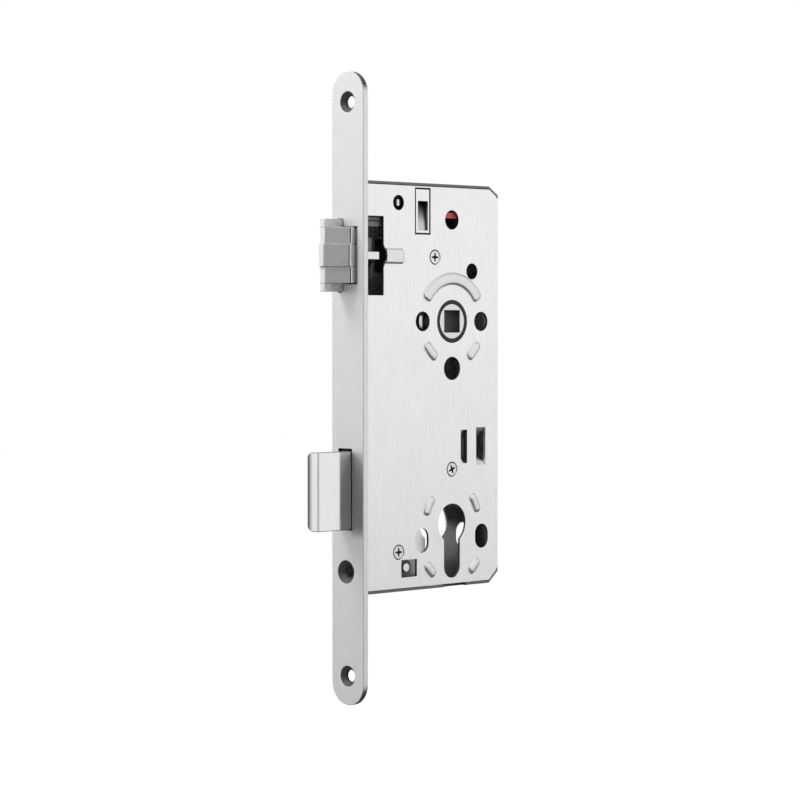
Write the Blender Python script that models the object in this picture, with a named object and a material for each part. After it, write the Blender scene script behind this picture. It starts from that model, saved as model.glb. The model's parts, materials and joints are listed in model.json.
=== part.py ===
"""Mortise door lock for a profile cylinder, with the latch out and the deadbolt thrown.

X runs from the faceplate's front face into the door, Y from the cover to the back of the case, Z up.
The origin is on the faceplate's front face, level with the follower. Lengths are in millimetres.
"""
import math

import bmesh
import bpy

MM = 0.001

# How far a cutter runs past the faces that it cuts, and how deep a raised form is rooted in its sheet
PAST = 1.0
ROOT = 0.3

# Faceplate
FACE_WIDTH = 20.0
FACE_THICK = 3.0
FACE_TOP = 110.0
FACE_BOTTOM = -170.0
FACE_SCREW_Z = (96.6, -157.1)
SCREW_HOLE_RADIUS = 2.6
COUNTERSINK_RADIUS = 4.7
CYLINDER_SCREW = (1.1, -110.9)
CYLINDER_SINK_RADIUS = 5.25
TENON_Z = (54.0, -20.0, -101.0)
TENON_RADIUS = 2.5
TENON_ROOT = 1.0
EAR_MARGIN = 6.0

# Standard distances
BACKSET = 60.0
CENTRES = 92.0
HANDLE_HOLE_SPREAD = 38.0
SPINDLE_SQUARE = 10.1

# Case
GAP = 0.3
SHEET = 1.2
CASE_MID = 0.5
CASE_THICK = 13.2
CASE_FRONT = FACE_THICK + GAP
CASE_REAR = 90.8
CASE_TOP = 62.2
CASE_BOTTOM = -121.0
CHAMFER_RUN = 5.8
CHAMFER_TOP = 3.7
CHAMFER_BOTTOM = 5.0
COVER_OUT = CASE_MID - CASE_THICK / 2
COVER_IN = COVER_OUT + SHEET
BACK_OUT = CASE_MID + CASE_THICK / 2
BACK_IN = BACK_OUT - SHEET
WALL_RIM = COVER_OUT + GAP
ROOM_FRONT = COVER_IN + GAP
ROOM_BACK = BACK_IN - GAP
RECESS = 0.1
BOTTOM_NOTCH_X = (55.4, 69.2)
BOTTOM_NOTCH_DEEP = 2.0

# Holes through both plates
CYLINDER = (BACKSET, -CENTRES)
FOLLOWER = (BACKSET, 0.0)
BUSH_HOLE_RADIUS = 9.8
HANDLE_HOLE_RADIUS = 4.5
LOWER_HANDLE_HOLE = (BACKSET, -21.4)
LOWER_HANDLE_HOLE_RADIUS = 5.35
EURO_RADIUS = 9.0
EURO_NECK = 10.4
EURO_BOTTOM = -117.0
SLOT_SPREAD = 39.0
SLOT_SIZE = (8.6, 11.2)
SLOT_Z = -98.8

# Holes in the cover alone
ROUND_HOLES = (((73.0, 22.9), 3.7), ((25.65, 52.95), 3.45), ((59.8, 46.1), 4.45))
TALL_WINDOW = (36.0, 46.0, 39.0, 60.1)
STUD_WINDOW = (27.4, 37.3, -114.8, -106.9)
LATCH_WINDOW_END = 16.4
LATCH_WINDOW_BULGE = 1.5
LATCH_WINDOW_HALF = 17.6
TUNNEL_END = 29.0
TUNNEL_HALF = 3.55
TUNNEL_RISE = 0.9
TUNNEL_CORNER = 1.8
TUNNEL_SHOULDER = 1.2
BRIDGES = ((65.7, 69.9, -64.9, -49.6), (75.9, 82.1, -66.0, -48.7))
BRIDGE_WIDTHS = (1.7, 5.8)
BRIDGE_DEPTH = 4.2
BRIDGE_SLOPE = 5.0
BRIDGE_SIDE_CUT = 0.2

# Ribs raised on the cover: centre, radius, width, and start and end angle of the right-hand arc
RIB_HEIGHT = 0.9
RIB_SHOULDER = 1.7
RIB_CORNER = 1.9
SHOULDER_STEPS = 3
CORNER_STEPS = 4
TOP_RIB = (FOLLOWER, 19.5, 5.8, 29.5, 150.5)
PAIRED_RIBS = (
    (FOLLOWER, 19.5, 4.8, -58.5, -29.5),
    (CYLINDER, 17.4, 4.4, 14, 46),
    ((BACKSET, SLOT_Z + 0.2), 19.9, 4.7, -55.5, -31.5),
)

# Cover screws and posts
SCREWS = {"upper": (48.9, 29.0), "middle": (60.0, -67.4), "lower": (25.8, -103.3)}
SCREW_HEAD_RADIUS = 2.95
SCREW_SINK_RADIUS = 3.5
SCREW_SHANK_RADIUS = 1.4
SCREW_LENGTH = 8.0
CROSS_REACH = 2.1
CROSS_TIP = 0.28
CROSS_CORE = 0.55
CROSS_DEPTH = 1.2
CROSS_TURNS = {"upper": 0, "middle": 22, "lower": 0}
POST_RADIUS = 3.5
BORE_LEAD_IN = 1.3
RIVET_RADIUS = 2.0
FRONT_POST = (25.65, 52.95)
FRONT_POST_RADIUS = 3.0
FRONT_POST_TIP_RADIUS = 1.55
BOSS_WALL = 2.5

# Latch
LATCH_Z = 29.1
LATCH_TRAVEL = 11.2
LATCH_OUT = -11.0
LATCH_ROOT = 3.5
LATCH_NEAR = -5.0
LATCH_FAR = 6.0
LATCH_FLAT = 3.0
LATCH_SHOULDER = -2.3
LATCH_HALF = 12.3
LATCH_NEAR_GAP = 1.1
WING_HALF = 16.0
WING_ROOT = 3.2
BAND_HALF = 5.1
BAND_PROUD = 0.8
CARRIER_END = 13.0
CARRIER_HALF = 15.1
CARRIER_SIDES = (-3.6, 4.6)
GUIDE_BAR_END = 14.2
GUIDE_BAR_HALF = 1.7
TAIL_SIDES = (-0.7, 1.7)
TAIL_FRONT = 8.3
TAIL_END = 68.0
TAIL_HALF = 7.5
HOOK_FRONT = 63.3
HOOK_BOTTOM = 14.0
LATCH_PIN = (31.5, LATCH_Z)
PIN_RADIUS = 2.0
LATCH_SPRING_Z = 41.0

# Follower
HUB_RADIUS = 7.95
FOLLOWER_RADIUS = 11.0
FOLLOWER_SIDES = (-3.6, 4.6)
RIM_RADIUS = 13.5
RIM_SIDES = (-0.35, 1.8)
RIM_FLAT = -10.6
ARM_SIDES = (-2.0, 3.0)
ARM_HALF = 3.0
ARM_TOP = 20.0
ARM_BOTTOM = -15.4
BUSH_BORE_RADIUS = 8.25
BUSH_FLANGE_RADIUS = 11.5
BUSH_FLANGE_THICK = 0.7
FOLLOWER_SPRING_Z = -13.5
FOLLOWER_SEAT = (33.0, 36.0, -16.5, -10.5)
FOLLOWER_SEAT_NEAR = -2.5

# Deadbolt
BOLT_TRAVEL = 20.0
BOLT_OUT = -20.0
BOLT_END = 24.0
BOLT_NEAR = -2.4
BOLT_FAR = 5.6
BOLT_TOP = -57.2
BOLT_BOTTOM = -92.0
BOLT_HEADROOM = 0.6
BOLT_CROWN_START = 0.6
BOLT_CROWN_RADIUS = 13.0
BOLT_SHOULDER_START = 1.0
BOLT_SHOULDER_RADIUS = 6.3
BOLT_TAIL_SIDES = (1.5, 4.5)
BOLT_TAIL = (12.3, 68.5, -77.0, -52.0)
CAM_NOTCH_X = (44.0, 54.0)
CAM_NOTCH_RADIUS = 4.0
STUMP = (49.0, -53.0)

# Tumbler
TUMBLER_PIVOT = (18.0, -47.0)
TUMBLER_POST_RADIUS = 2.5
TUMBLER_SIDES = (-0.2, 1.2)
TUMBLER_END = 74.0
TUMBLER_TOP = -43.5
GATE_TOP = -50.7
GATE_BOTTOM = -55.3
GATE_END = 71.5
FOOT_FRONT = 47.0
FOOT_BOTTOM = -78.0
TUMBLER_DROP = math.radians(4.4)
TUMBLER_SPRING_X = 67.0
TUMBLER_SEAT = (63.0, 71.0, -33.2, -30.0)

# Changer lever
CHANGER_SIDES = (ROOM_FRONT, -2.9)
CHANGER_HALF = 3.0
CHANGER_TOP = 34.0
CHANGER_FINGER = (58.0, -76.5, -72.0)
CHANGER_STUD = (31.2, -110.5)
CHANGER_STUD_RADIUS = 1.95
CHANGER_EAR_WALL = 2.0

# Blocks clamped between the plates
GUIDE_BLOCK = (36.8, 45.2, 39.8, 59.3)
GUIDE_POCKET = (38.0, 44.4, 40.9, 54.1)
GUIDE_POCKET_DEPTHS = (1.2, 4.4)
POCKET_SWEEP = math.radians(65)
POCKET_STEPS = 10
RED_BLOCK = (53.0, 69.0, 46.9, 49.6)

# Springs: mean radius, wire radius and turns
LATCH_COIL = (2.0, 0.4, 9)
FOLLOWER_COIL = (1.9, 0.45, 8)
TUMBLER_COIL = (2.0, 0.35, 5)
POINTS_PER_TURN = 8

ROUND_STEPS = 24
SHARP_ANGLE = math.radians(35)

# Linear colour, roughness and metallic value of each finish
FINISHES = {
    "silver_paint": ((0.66, 0.66, 0.65), 0.45, 0.6),
    "galvanised": ((0.72, 0.73, 0.74), 0.35, 0.9),
    "bright_steel": ((0.75, 0.75, 0.76), 0.25, 1.0),
    "nickel": ((0.70, 0.69, 0.69), 0.18, 1.0),
    "sintered_grey": ((0.33, 0.33, 0.34), 0.5, 0.8),
    "blackened_steel": ((0.06, 0.06, 0.065), 0.5, 0.8),
    "black_plastic": ((0.015, 0.015, 0.017), 0.4, 0.0),
    "red_plastic": ((0.55, 0.03, 0.03), 0.4, 0.0),
    "spring_steel": ((0.45, 0.45, 0.46), 0.3, 1.0),
}


def place(axis, a, b, along):
    """Put outline coordinates a, b and a position along the axis into X, Y, Z order."""
    return {"X": (along, a, b), "Y": (a, along, b), "Z": (a, b, along)}[axis]


def arc(centre, radius, start, end, steps):
    """Points along an arc, with angles in degrees."""
    angles = [math.radians(start + (end - start) * i / steps) for i in range(steps + 1)]
    return [(centre[0] + radius * math.cos(t), centre[1] + radius * math.sin(t)) for t in angles]


def circle(centre, radius, steps=ROUND_STEPS):
    return arc(centre, radius, 0, 360, steps)[:-1]


def rectangle(x0, x1, z0, z1):
    return [(x0, z0), (x1, z0), (x1, z1), (x0, z1)]


def upright_slot(centre, width, height):
    """An obround that stands on end."""
    radius = width / 2
    rise = height / 2 - radius
    top = arc((centre[0], centre[1] + rise), radius, 0, 180, ROUND_STEPS // 2)
    bottom = arc((centre[0], centre[1] - rise), radius, 180, 360, ROUND_STEPS // 2)
    return top + bottom


def rounded_sector(centre, radius, half_width, start, end, corner):
    """A bent bar with round corners: half its width lies on each side of the radius."""
    middle = math.radians(start + end) / 2
    half_run = math.radians(end - start) / 2 * radius - corner
    inset = half_width - corner
    steps = max(4, round(half_run))
    run = [half_run - 2 * half_run * i / steps for i in range(1, steps)]
    flat = arc((half_run, inset), corner, 0, 90, CORNER_STEPS) + [(a, half_width) for a in run]
    flat += arc((-half_run, inset), corner, 90, 180, CORNER_STEPS)
    flat += arc((-half_run, -inset), corner, 180, 270, CORNER_STEPS) + [(-a, -half_width) for a in run]
    flat += arc((half_run, -inset), corner, 270, 360, CORNER_STEPS)
    bent = [(radius + b, middle + a / radius) for a, b in flat]
    return [(centre[0] + r * math.cos(t), centre[1] + r * math.sin(t)) for r, t in bent]


def pressed_steps(height, shoulder):
    """Rise above the sheet and shrink of the outline, over the round shoulder of a pressed form."""
    angles = [math.radians(90 * i / SHOULDER_STEPS) for i in range(SHOULDER_STEPS + 1)]
    steps = [(height * math.sin(t), shoulder * (1 - math.cos(t))) for t in angles]
    return [(-ROOT, 0.0)] + steps


def profile_cylinder():
    """The key-hole outline of a profile cylinder."""
    half = EURO_NECK / 2
    join = math.degrees(math.acos(half / EURO_RADIUS))
    foot = (CYLINDER[0], EURO_BOTTOM + half)
    head = arc(CYLINDER, EURO_RADIUS, -join, 180 + join, ROUND_STEPS)
    return head + arc(foot, half, 180, 360, ROUND_STEPS // 2)


def case_outline(inset):
    """The case's side outline with chamfered rear corners, moved in by inset."""
    front, rear = CASE_FRONT + inset, CASE_REAR - inset
    bottom, top = CASE_BOTTOM + inset, CASE_TOP - inset
    slope_top = CHAMFER_TOP / CHAMFER_RUN
    slope_bottom = CHAMFER_BOTTOM / CHAMFER_RUN
    drop_top = CHAMFER_TOP + inset * (math.hypot(1, slope_top) - 1 - slope_top)
    drop_bottom = CHAMFER_BOTTOM + inset * (math.hypot(1, slope_bottom) - 1 - slope_bottom)
    return [
        (front, bottom),
        (rear - drop_bottom / slope_bottom, bottom),
        (rear, bottom + drop_bottom),
        (rear, top - drop_top),
        (rear - drop_top / slope_top, top),
        (front, top),
    ]


def loft(name, loops):
    """A closed solid through loops of equally many 3-D points, capped at both ends."""
    shape = bmesh.new()
    rings = [[shape.verts.new([c * MM for c in point]) for point in loop] for loop in loops]
    count = len(rings[0])
    for lower, upper in zip(rings, rings[1:]):
        for i in range(count):
            j = (i + 1) % count
            shape.faces.new((lower[i], lower[j], upper[j], upper[i]))
    shape.faces.new(rings[0])
    shape.faces.new(rings[-1])
    bmesh.ops.recalc_face_normals(shape, faces=shape.faces)
    mesh = bpy.data.meshes.new(name)
    shape.to_mesh(mesh)
    shape.free()
    solid = bpy.data.objects.new(name, mesh)
    bpy.context.scene.collection.objects.link(solid)
    return solid


def prism(name, outline, low, high, axis="Y"):
    return loft(name, [[place(axis, a, b, at) for a, b in outline] for at in (low, high)])


def turned(name, centre, profile, axis="Y"):
    """A solid of revolution: profile holds radius and position along the axis."""
    rings = [(circle(centre, radius), at) for radius, at in profile]
    return loft(name, [[place(axis, a, b, at) for a, b in ring] for ring, at in rings])


def combine(target, operation, tools):
    """Apply a Boolean with each tool in turn, and remove the tools."""
    for tool in tools:
        modifier = target.modifiers.new(operation.lower(), "BOOLEAN")
        modifier.operation = operation
        modifier.solver = "EXACT"
        modifier.object = tool
        evaluated = target.evaluated_get(bpy.context.evaluated_depsgraph_get())
        mesh = bpy.data.meshes.new_from_object(evaluated)
        target.modifiers.clear()
        target.data = mesh
        bpy.data.objects.remove(tool)
    return target


def cut(target, *tools):
    return combine(target, "DIFFERENCE", tools)


def unite(target, *tools):
    return combine(target, "UNION", tools)


def finish(solid, finish_name):
    """Give a piece its own material, and shade its round faces smooth."""
    colour, roughness, metallic = FINISHES[finish_name]
    material = bpy.data.materials.new(f"{solid.name}_{finish_name}")
    material.use_nodes = True
    shader = material.node_tree.nodes["Principled BSDF"]
    shader.inputs["Base Color"].default_value = (*colour, 1)
    shader.inputs["Roughness"].default_value = roughness
    shader.inputs["Metallic"].default_value = metallic
    material.diffuse_color = (*colour, 1)
    solid.data.materials.clear()
    solid.data.materials.append(material)
    if solid.type == "MESH":
        solid.data.shade_smooth()
        solid.data.set_sharp_from_angle(angle=SHARP_ANGLE)
    return solid


def split_plane(solid, z):
    """Add an edge loop at a height, so that flat faces end there."""
    shape = bmesh.new()
    shape.from_mesh(solid.data)
    parts = shape.verts[:] + shape.edges[:] + shape.faces[:]
    bmesh.ops.bisect_plane(shape, geom=parts, plane_co=(0, 0, z * MM), plane_no=(0, 0, 1))
    shape.to_mesh(solid.data)
    shape.free()


def countersink(centre, radius):
    """The shape of a screw hole with a 45 degree sink, right through the faceplate."""
    hole = SCREW_HOLE_RADIUS
    profile = [(radius + PAST, -PAST), (hole, radius - hole), (hole, FACE_THICK + PAST)]
    return turned("countersink", centre, profile, "X")


def make_faceplate():
    half = FACE_WIDTH / 2
    outline = arc((0, FACE_TOP - half), half, 0, 180, ROUND_STEPS)
    outline += arc((0, FACE_BOTTOM + half), half, 180, 360, ROUND_STEPS)
    plate = prism("faceplate", outline, 0, FACE_THICK, "X")
    upper_screw, lower_screw = FACE_SCREW_Z
    for z in (upper_screw - EAR_MARGIN, CASE_TOP + GAP, CASE_BOTTOM - GAP, lower_screw + EAR_MARGIN):
        split_plane(plate, z)
    tenon_end = CASE_FRONT + SHEET + PAST
    rings = [circle((CASE_MID, z), TENON_RADIUS) for z in TENON_Z]
    unite(plate, *[prism("tenon", ring, TENON_ROOT, tenon_end, "X") for ring in rings])
    front, back = -PAST, FACE_THICK + PAST
    cut(plate, *[countersink((0, z), COUNTERSINK_RADIUS) for z in FACE_SCREW_Z])
    cut(plate, countersink(CYLINDER_SCREW, CYLINDER_SINK_RADIUS))
    cut(plate, *latch_clearance(GAP, front, back), bolt_clearance(GAP, front, back))
    return finish(plate, "silver_paint")


def latch_span(half):
    """Heights of a form that lies evenly about the latch's middle."""
    return LATCH_Z - half, LATCH_Z + half


def latch_clearance(gap, front, back):
    """Tools for the stepped latch opening in a wall across X."""
    body_sides = (LATCH_NEAR - LATCH_NEAR_GAP, LATCH_FAR + gap)
    wing_sides = (LATCH_FLAT - gap, LATCH_FAR + gap)
    openings = ((body_sides, LATCH_HALF + gap), (wing_sides, WING_HALF + gap))
    return [
        prism("latch_opening", rectangle(*sides, *latch_span(half)), front, back, "X")
        for sides, half in openings
    ]


def bolt_clearance(gap, front, back):
    top = BOLT_TOP + BOLT_HEADROOM + gap
    outline = rectangle(BOLT_NEAR - gap, BOLT_FAR + gap, BOLT_BOTTOM - gap, top)
    return prism("bolt_opening", outline, front, back, "X")


def shared_holes():
    """Tools for the holes that pass straight through both plates."""
    low, high = COVER_OUT - 2 * PAST, BACK_OUT + 2 * PAST
    half_spread = HANDLE_HOLE_SPREAD / 2
    outlines = [circle(FOLLOWER, BUSH_HOLE_RADIUS, 48), profile_cylinder()]
    outlines += [circle((BACKSET + side * half_spread, 0), HANDLE_HOLE_RADIUS) for side in (-1, 1)]
    outlines.append(circle(LOWER_HANDLE_HOLE, LOWER_HANDLE_HOLE_RADIUS))
    outlines += [upright_slot((BACKSET + side * SLOT_SPREAD / 2, SLOT_Z), *SLOT_SIZE) for side in (-1, 1)]
    return [prism("hole", outline, low, high) for outline in outlines]


def make_case_body():
    body = prism("case_body", case_outline(0), WALL_RIM, BACK_OUT)
    cut(body, prism("room", case_outline(SHEET), WALL_RIM - PAST, BACK_IN))
    cut(body, *shared_holes())
    wall_front, wall_back = CASE_FRONT - PAST, CASE_FRONT + SHEET + PAST / 2
    window = rectangle(wall_front, LATCH_WINDOW_END, *latch_span(LATCH_WINDOW_HALF))
    cut(body, prism("latch_window", window, WALL_RIM - 2 * PAST, BACK_OUT + PAST))
    wall_holes = [circle((CASE_MID, z), TENON_RADIUS + GAP) for z in TENON_Z]
    wall_holes.append(circle(CYLINDER_SCREW, SCREW_HOLE_RADIUS + GAP))
    cut(body, *[prism("wall_hole", hole, wall_front, wall_back, "X") for hole in wall_holes])
    cut(body, bolt_clearance(2 * GAP, wall_front, wall_back))
    pins = [circle(pin, RIVET_RADIUS + GAP, 16) for pin in (*SCREWS.values(), FRONT_POST, TUMBLER_PIVOT)]
    cut(body, *[prism("rivet_hole", pin, BACK_IN - PAST, BACK_OUT + PAST) for pin in pins])
    notch = rectangle(*BOTTOM_NOTCH_X, CASE_BOTTOM - PAST, CASE_BOTTOM + SHEET + PAST / 2)
    cut(body, prism("bottom_notch", notch, WALL_RIM - PAST, WALL_RIM + BOTTOM_NOTCH_DEEP))
    return finish(body, "galvanised")


def rib(centre, radius, width, start, end):
    """A raised arc on the cover with round corners and shoulders."""
    loops = []
    for rise, shrink in pressed_steps(RIB_HEIGHT, RIB_SHOULDER):
        turn = math.degrees(shrink / radius)
        bounds = (width / 2 - shrink, start + turn, end - turn, RIB_CORNER - shrink)
        outline = rounded_sector(centre, radius, *bounds)
        loops.append([(x, COVER_OUT - rise, z) for x, z in outline])
    return loft("rib", loops)


def cover_ribs():
    ribs = [rib(*TOP_RIB)]
    for centre, radius, width, start, end in PAIRED_RIBS:
        ribs.append(rib(centre, radius, width, start, end))
        ribs.append(rib(centre, radius, width, 180 - end, 180 - start))
    return ribs


def latch_tunnel():
    """The pressed-out channel that takes the guide bar when the latch is drawn in."""
    loops = []
    mouth = LATCH_WINDOW_END - PAST
    centre_x = TUNNEL_END - TUNNEL_CORNER
    for rise, shrink in pressed_steps(TUNNEL_RISE, TUNNEL_SHOULDER):
        low, high = latch_span(TUNNEL_HALF - shrink)
        corner = TUNNEL_CORNER - shrink
        outline = [(mouth, low)] + arc((centre_x, low + corner), corner, -90, 0, 6)
        outline += arc((centre_x, high - corner), corner, 0, 90, 6) + [(mouth, high)]
        loops.append([(x, COVER_OUT - rise, z) for x, z in outline])
    return loft("tunnel", loops)


def latch_window_outline():
    """The cover's latch window, open at the front, with a shallow bulge at the tunnel's mouth."""
    sagitta, chord = LATCH_WINDOW_BULGE, 2 * BAND_HALF
    radius = (chord ** 2 / 4 + sagitta ** 2) / (2 * sagitta)
    spread = math.degrees(math.asin(chord / 2 / radius))
    bulge = arc((LATCH_WINDOW_END + sagitta - radius, LATCH_Z), radius, -spread, spread, 10)
    low, high = latch_span(LATCH_WINDOW_HALF)
    return [(0, low), (LATCH_WINDOW_END, low)] + bulge + [(LATCH_WINDOW_END, high), (0, high)]


def bridge(x0, low, high, width):
    """A strap of the cover, along one side of its slot, that is pressed inward."""
    deep = COVER_OUT + BRIDGE_DEPTH
    outer = [(COVER_OUT, high + PAST), (COVER_OUT, high), (deep, high - BRIDGE_SLOPE)]
    outer += [(deep, low + BRIDGE_SLOPE), (COVER_OUT, low), (COVER_OUT, low - PAST)]
    rise = SHEET * (math.hypot(BRIDGE_DEPTH, BRIDGE_SLOPE) - BRIDGE_SLOPE) / BRIDGE_DEPTH
    inner = [(COVER_IN, low - PAST), (COVER_IN, low - rise), (deep + SHEET, low + BRIDGE_SLOPE - rise)]
    inner += [(deep + SHEET, high - BRIDGE_SLOPE + rise), (COVER_IN, high + rise), (COVER_IN, high + PAST)]
    return prism("bridge", outer + inner, x0 + BRIDGE_SIDE_CUT, x0 + BRIDGE_SIDE_CUT + width, "X")


def make_case_cover():
    cover = prism("case_cover", case_outline(SHEET + GAP), COVER_OUT, COVER_IN)
    unite(cover, *cover_ribs(), latch_tunnel())
    low, high = COVER_OUT - 2 * PAST, COVER_IN + PAST
    outlines = [latch_window_outline(), rectangle(*TALL_WINDOW), rectangle(*STUD_WINDOW)]
    outlines += [circle(centre, radius) for centre, radius in ROUND_HOLES]
    outlines += [rectangle(*lance) for lance in BRIDGES]
    cut(cover, *[prism("hole", outline, low, high) for outline in outlines], *shared_holes())
    channel = rectangle(CASE_FRONT, TUNNEL_END - SHEET, *latch_span(TUNNEL_HALF - SHEET))
    cut(cover, prism("channel", channel, COVER_OUT + GAP, high))
    mouth, throat = SCREW_SINK_RADIUS + PAST, SCREW_SINK_RADIUS - SHEET - PAST
    profile = [(mouth, COVER_OUT - PAST), (throat, COVER_IN + PAST)]
    cut(cover, *[turned("sink", centre, profile) for centre in SCREWS.values()])
    straps = [(x0, low, high, width) for (x0, _, low, high), width in zip(BRIDGES, BRIDGE_WIDTHS)]
    unite(cover, *[bridge(*strap) for strap in straps])
    return finish(cover, "galvanised")


def cross_recess(centre, turn):
    """A four-armed star whose arms taper to blunt tips."""
    outline = []
    for arm in range(4):
        angle = math.radians(turn + 90 * arm)
        along, across = (math.cos(angle), math.sin(angle)), (-math.sin(angle), math.cos(angle))
        corners = ((CROSS_REACH, -CROSS_TIP), (CROSS_REACH, CROSS_TIP), (CROSS_CORE, CROSS_CORE))
        outline += [[c + a * u + b * v for c, u, v in zip(centre, along, across)] for a, b in corners]
    return prism("cross", outline, COVER_OUT - PAST, COVER_OUT + CROSS_DEPTH)


def make_cover_screw(place_name, centre):
    """A countersunk screw with a cross recess."""
    head_end = COVER_OUT + SCREW_HEAD_RADIUS - SCREW_SHANK_RADIUS
    profile = [(SCREW_HEAD_RADIUS, COVER_OUT), (SCREW_SHANK_RADIUS, head_end)]
    profile.append((SCREW_SHANK_RADIUS, COVER_OUT + SCREW_LENGTH))
    screw = turned(f"cover_screw_{place_name}", centre, profile)
    cut(screw, cross_recess(centre, CROSS_TURNS[place_name]))
    return finish(screw, "bright_steel")


def make_screw_post(place_name, centre):
    """A riveted post with a blind bore for its screw."""
    profile = [(POST_RADIUS, ROOM_FRONT), (POST_RADIUS, ROOM_BACK)]
    profile += [(RIVET_RADIUS, ROOM_BACK), (RIVET_RADIUS, BACK_OUT)]
    post = turned(f"post_{place_name}", centre, profile)
    bore_radius = SCREW_SHANK_RADIUS + GAP
    mouth = ROOM_FRONT - PAST / 2
    bore = [(bore_radius + BORE_LEAD_IN, mouth), (bore_radius, mouth + BORE_LEAD_IN)]
    bore.append((bore_radius, COVER_OUT + SCREW_LENGTH + PAST))
    cut(post, turned("bore", centre, bore))
    return finish(post, "bright_steel")


def make_stepped_post(name, centre, radius, tip_radius, tip, shoulder):
    profile = [(tip_radius, tip), (tip_radius, shoulder), (radius, shoulder), (radius, ROOM_BACK)]
    profile += [(RIVET_RADIUS, ROOM_BACK), (RIVET_RADIUS, BACK_OUT)]
    return finish(turned(name, centre, profile), "bright_steel")


def make_latch_head():
    """The bevelled head, its wings along the far side and the band that stands proud of the bevel."""
    bevel = [(LATCH_OUT, LATCH_FLAT), (LATCH_SHOULDER, LATCH_NEAR)]
    inside = LATCH_FAR - PAST
    body = bevel + [(LATCH_ROOT, LATCH_NEAR), (LATCH_ROOT, inside), (LATCH_OUT + 2 * PAST, inside)]
    head = prism("latch_head", body, *latch_span(LATCH_HALF), "Z")
    wing = rectangle(LATCH_OUT, WING_ROOT, LATCH_FLAT, LATCH_FAR)
    proud = [(x - BAND_PROUD, y) for x, y in bevel]
    band = proud + [(0, LATCH_NEAR), (0, LATCH_FAR), (LATCH_OUT - BAND_PROUD, LATCH_FAR)]
    unite(head, prism("wing", wing, *latch_span(WING_HALF), "Z"))
    unite(head, prism("band", band, *latch_span(BAND_HALF), "Z"))
    return finish(head, "sintered_grey")


def make_latch_carrier():
    outline = rectangle(LATCH_ROOT + GAP, CARRIER_END, *latch_span(CARRIER_HALF))
    carrier = prism("latch_carrier", outline, *CARRIER_SIDES)
    slot = rectangle(TAIL_FRONT - GAP, CARRIER_END + PAST, *latch_span(TAIL_HALF + GAP))
    cut(carrier, prism("slot", slot, TAIL_SIDES[0] - GAP, TAIL_SIDES[1] + GAP))
    return finish(carrier, "black_plastic")


def make_guide_bar():
    """The bright bar on the carrier that shows in the latch window."""
    outline = rectangle(LATCH_ROOT + GAP, GUIDE_BAR_END, *latch_span(GUIDE_BAR_HALF))
    bar = prism("latch_guide_bar", outline, COVER_OUT + 2 * GAP, CARRIER_SIDES[0] - GAP)
    return finish(bar, "bright_steel")


def make_latch_tail():
    """The plate that the follower's arm draws back, slotted round the upper post."""
    tail = prism("latch_tail", rectangle(TAIL_FRONT, TAIL_END, *latch_span(TAIL_HALF)), *TAIL_SIDES)
    unite(tail, prism("hook", rectangle(HOOK_FRONT, TAIL_END, HOOK_BOTTOM, LATCH_Z), *TAIL_SIDES))
    post_x, post_z = SCREWS["upper"]
    room = POST_RADIUS + 2 * GAP
    slot = rectangle(post_x - LATCH_TRAVEL - room, post_x + room, post_z - room, post_z + room)
    pin_hole = circle(LATCH_PIN, PIN_RADIUS + GAP, 16)
    low, high = TAIL_SIDES[0] - PAST, TAIL_SIDES[1] + PAST
    cut(tail, *[prism("slot", outline, low, high) for outline in (slot, pin_hole)])
    return finish(tail, "galvanised")


def make_pin(name, centre, radius, low, high):
    return finish(turned(name, centre, [(radius, low), (radius, high)]), "bright_steel")


def make_follower():
    """The hub with its square hole and thin rim, and its two arms, for the latch and the spring."""
    follower = turned("follower", FOLLOWER, [(HUB_RADIUS, COVER_OUT), (HUB_RADIUS, BACK_OUT)])
    disc = turned("disc", FOLLOWER, [(FOLLOWER_RADIUS, side) for side in FOLLOWER_SIDES])
    rim = turned("rim", FOLLOWER, [(RIM_RADIUS, side) for side in RIM_SIDES])
    reach = RIM_RADIUS + PAST
    flat = rectangle(BACKSET - reach, BACKSET + reach, -reach, RIM_FLAT)
    cut(rim, prism("flat", flat, RIM_SIDES[0] - PAST, RIM_SIDES[1] + PAST))
    arms = rectangle(BACKSET - ARM_HALF, BACKSET + ARM_HALF, ARM_BOTTOM, ARM_TOP)
    unite(follower, disc, rim, prism("arms", arms, *ARM_SIDES))
    half = SPINDLE_SQUARE / 2
    square = rectangle(BACKSET - half, BACKSET + half, -half, half)
    cut(follower, prism("square", square, COVER_OUT - PAST, BACK_OUT + PAST))
    return finish(follower, "bright_steel")


def make_bush(name, face, room, towards_middle):
    """A flanged bush whose collar shows as a dark ring round the hub."""
    collar = BUSH_HOLE_RADIUS - GAP
    flange_end = room + towards_middle * BUSH_FLANGE_THICK
    profile = [(collar, face), (collar, room), (BUSH_FLANGE_RADIUS, room), (BUSH_FLANGE_RADIUS, flange_end)]
    bush = turned(name, FOLLOWER, profile)
    cut(bush, prism("bore", circle(FOLLOWER, BUSH_BORE_RADIUS), COVER_OUT - PAST, BACK_OUT + PAST))
    return finish(bush, "black_plastic")


def make_block(name, box, finish_name, low=ROOM_FRONT, high=ROOM_BACK):
    return finish(prism(name, rectangle(*box), low, high), finish_name)


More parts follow.
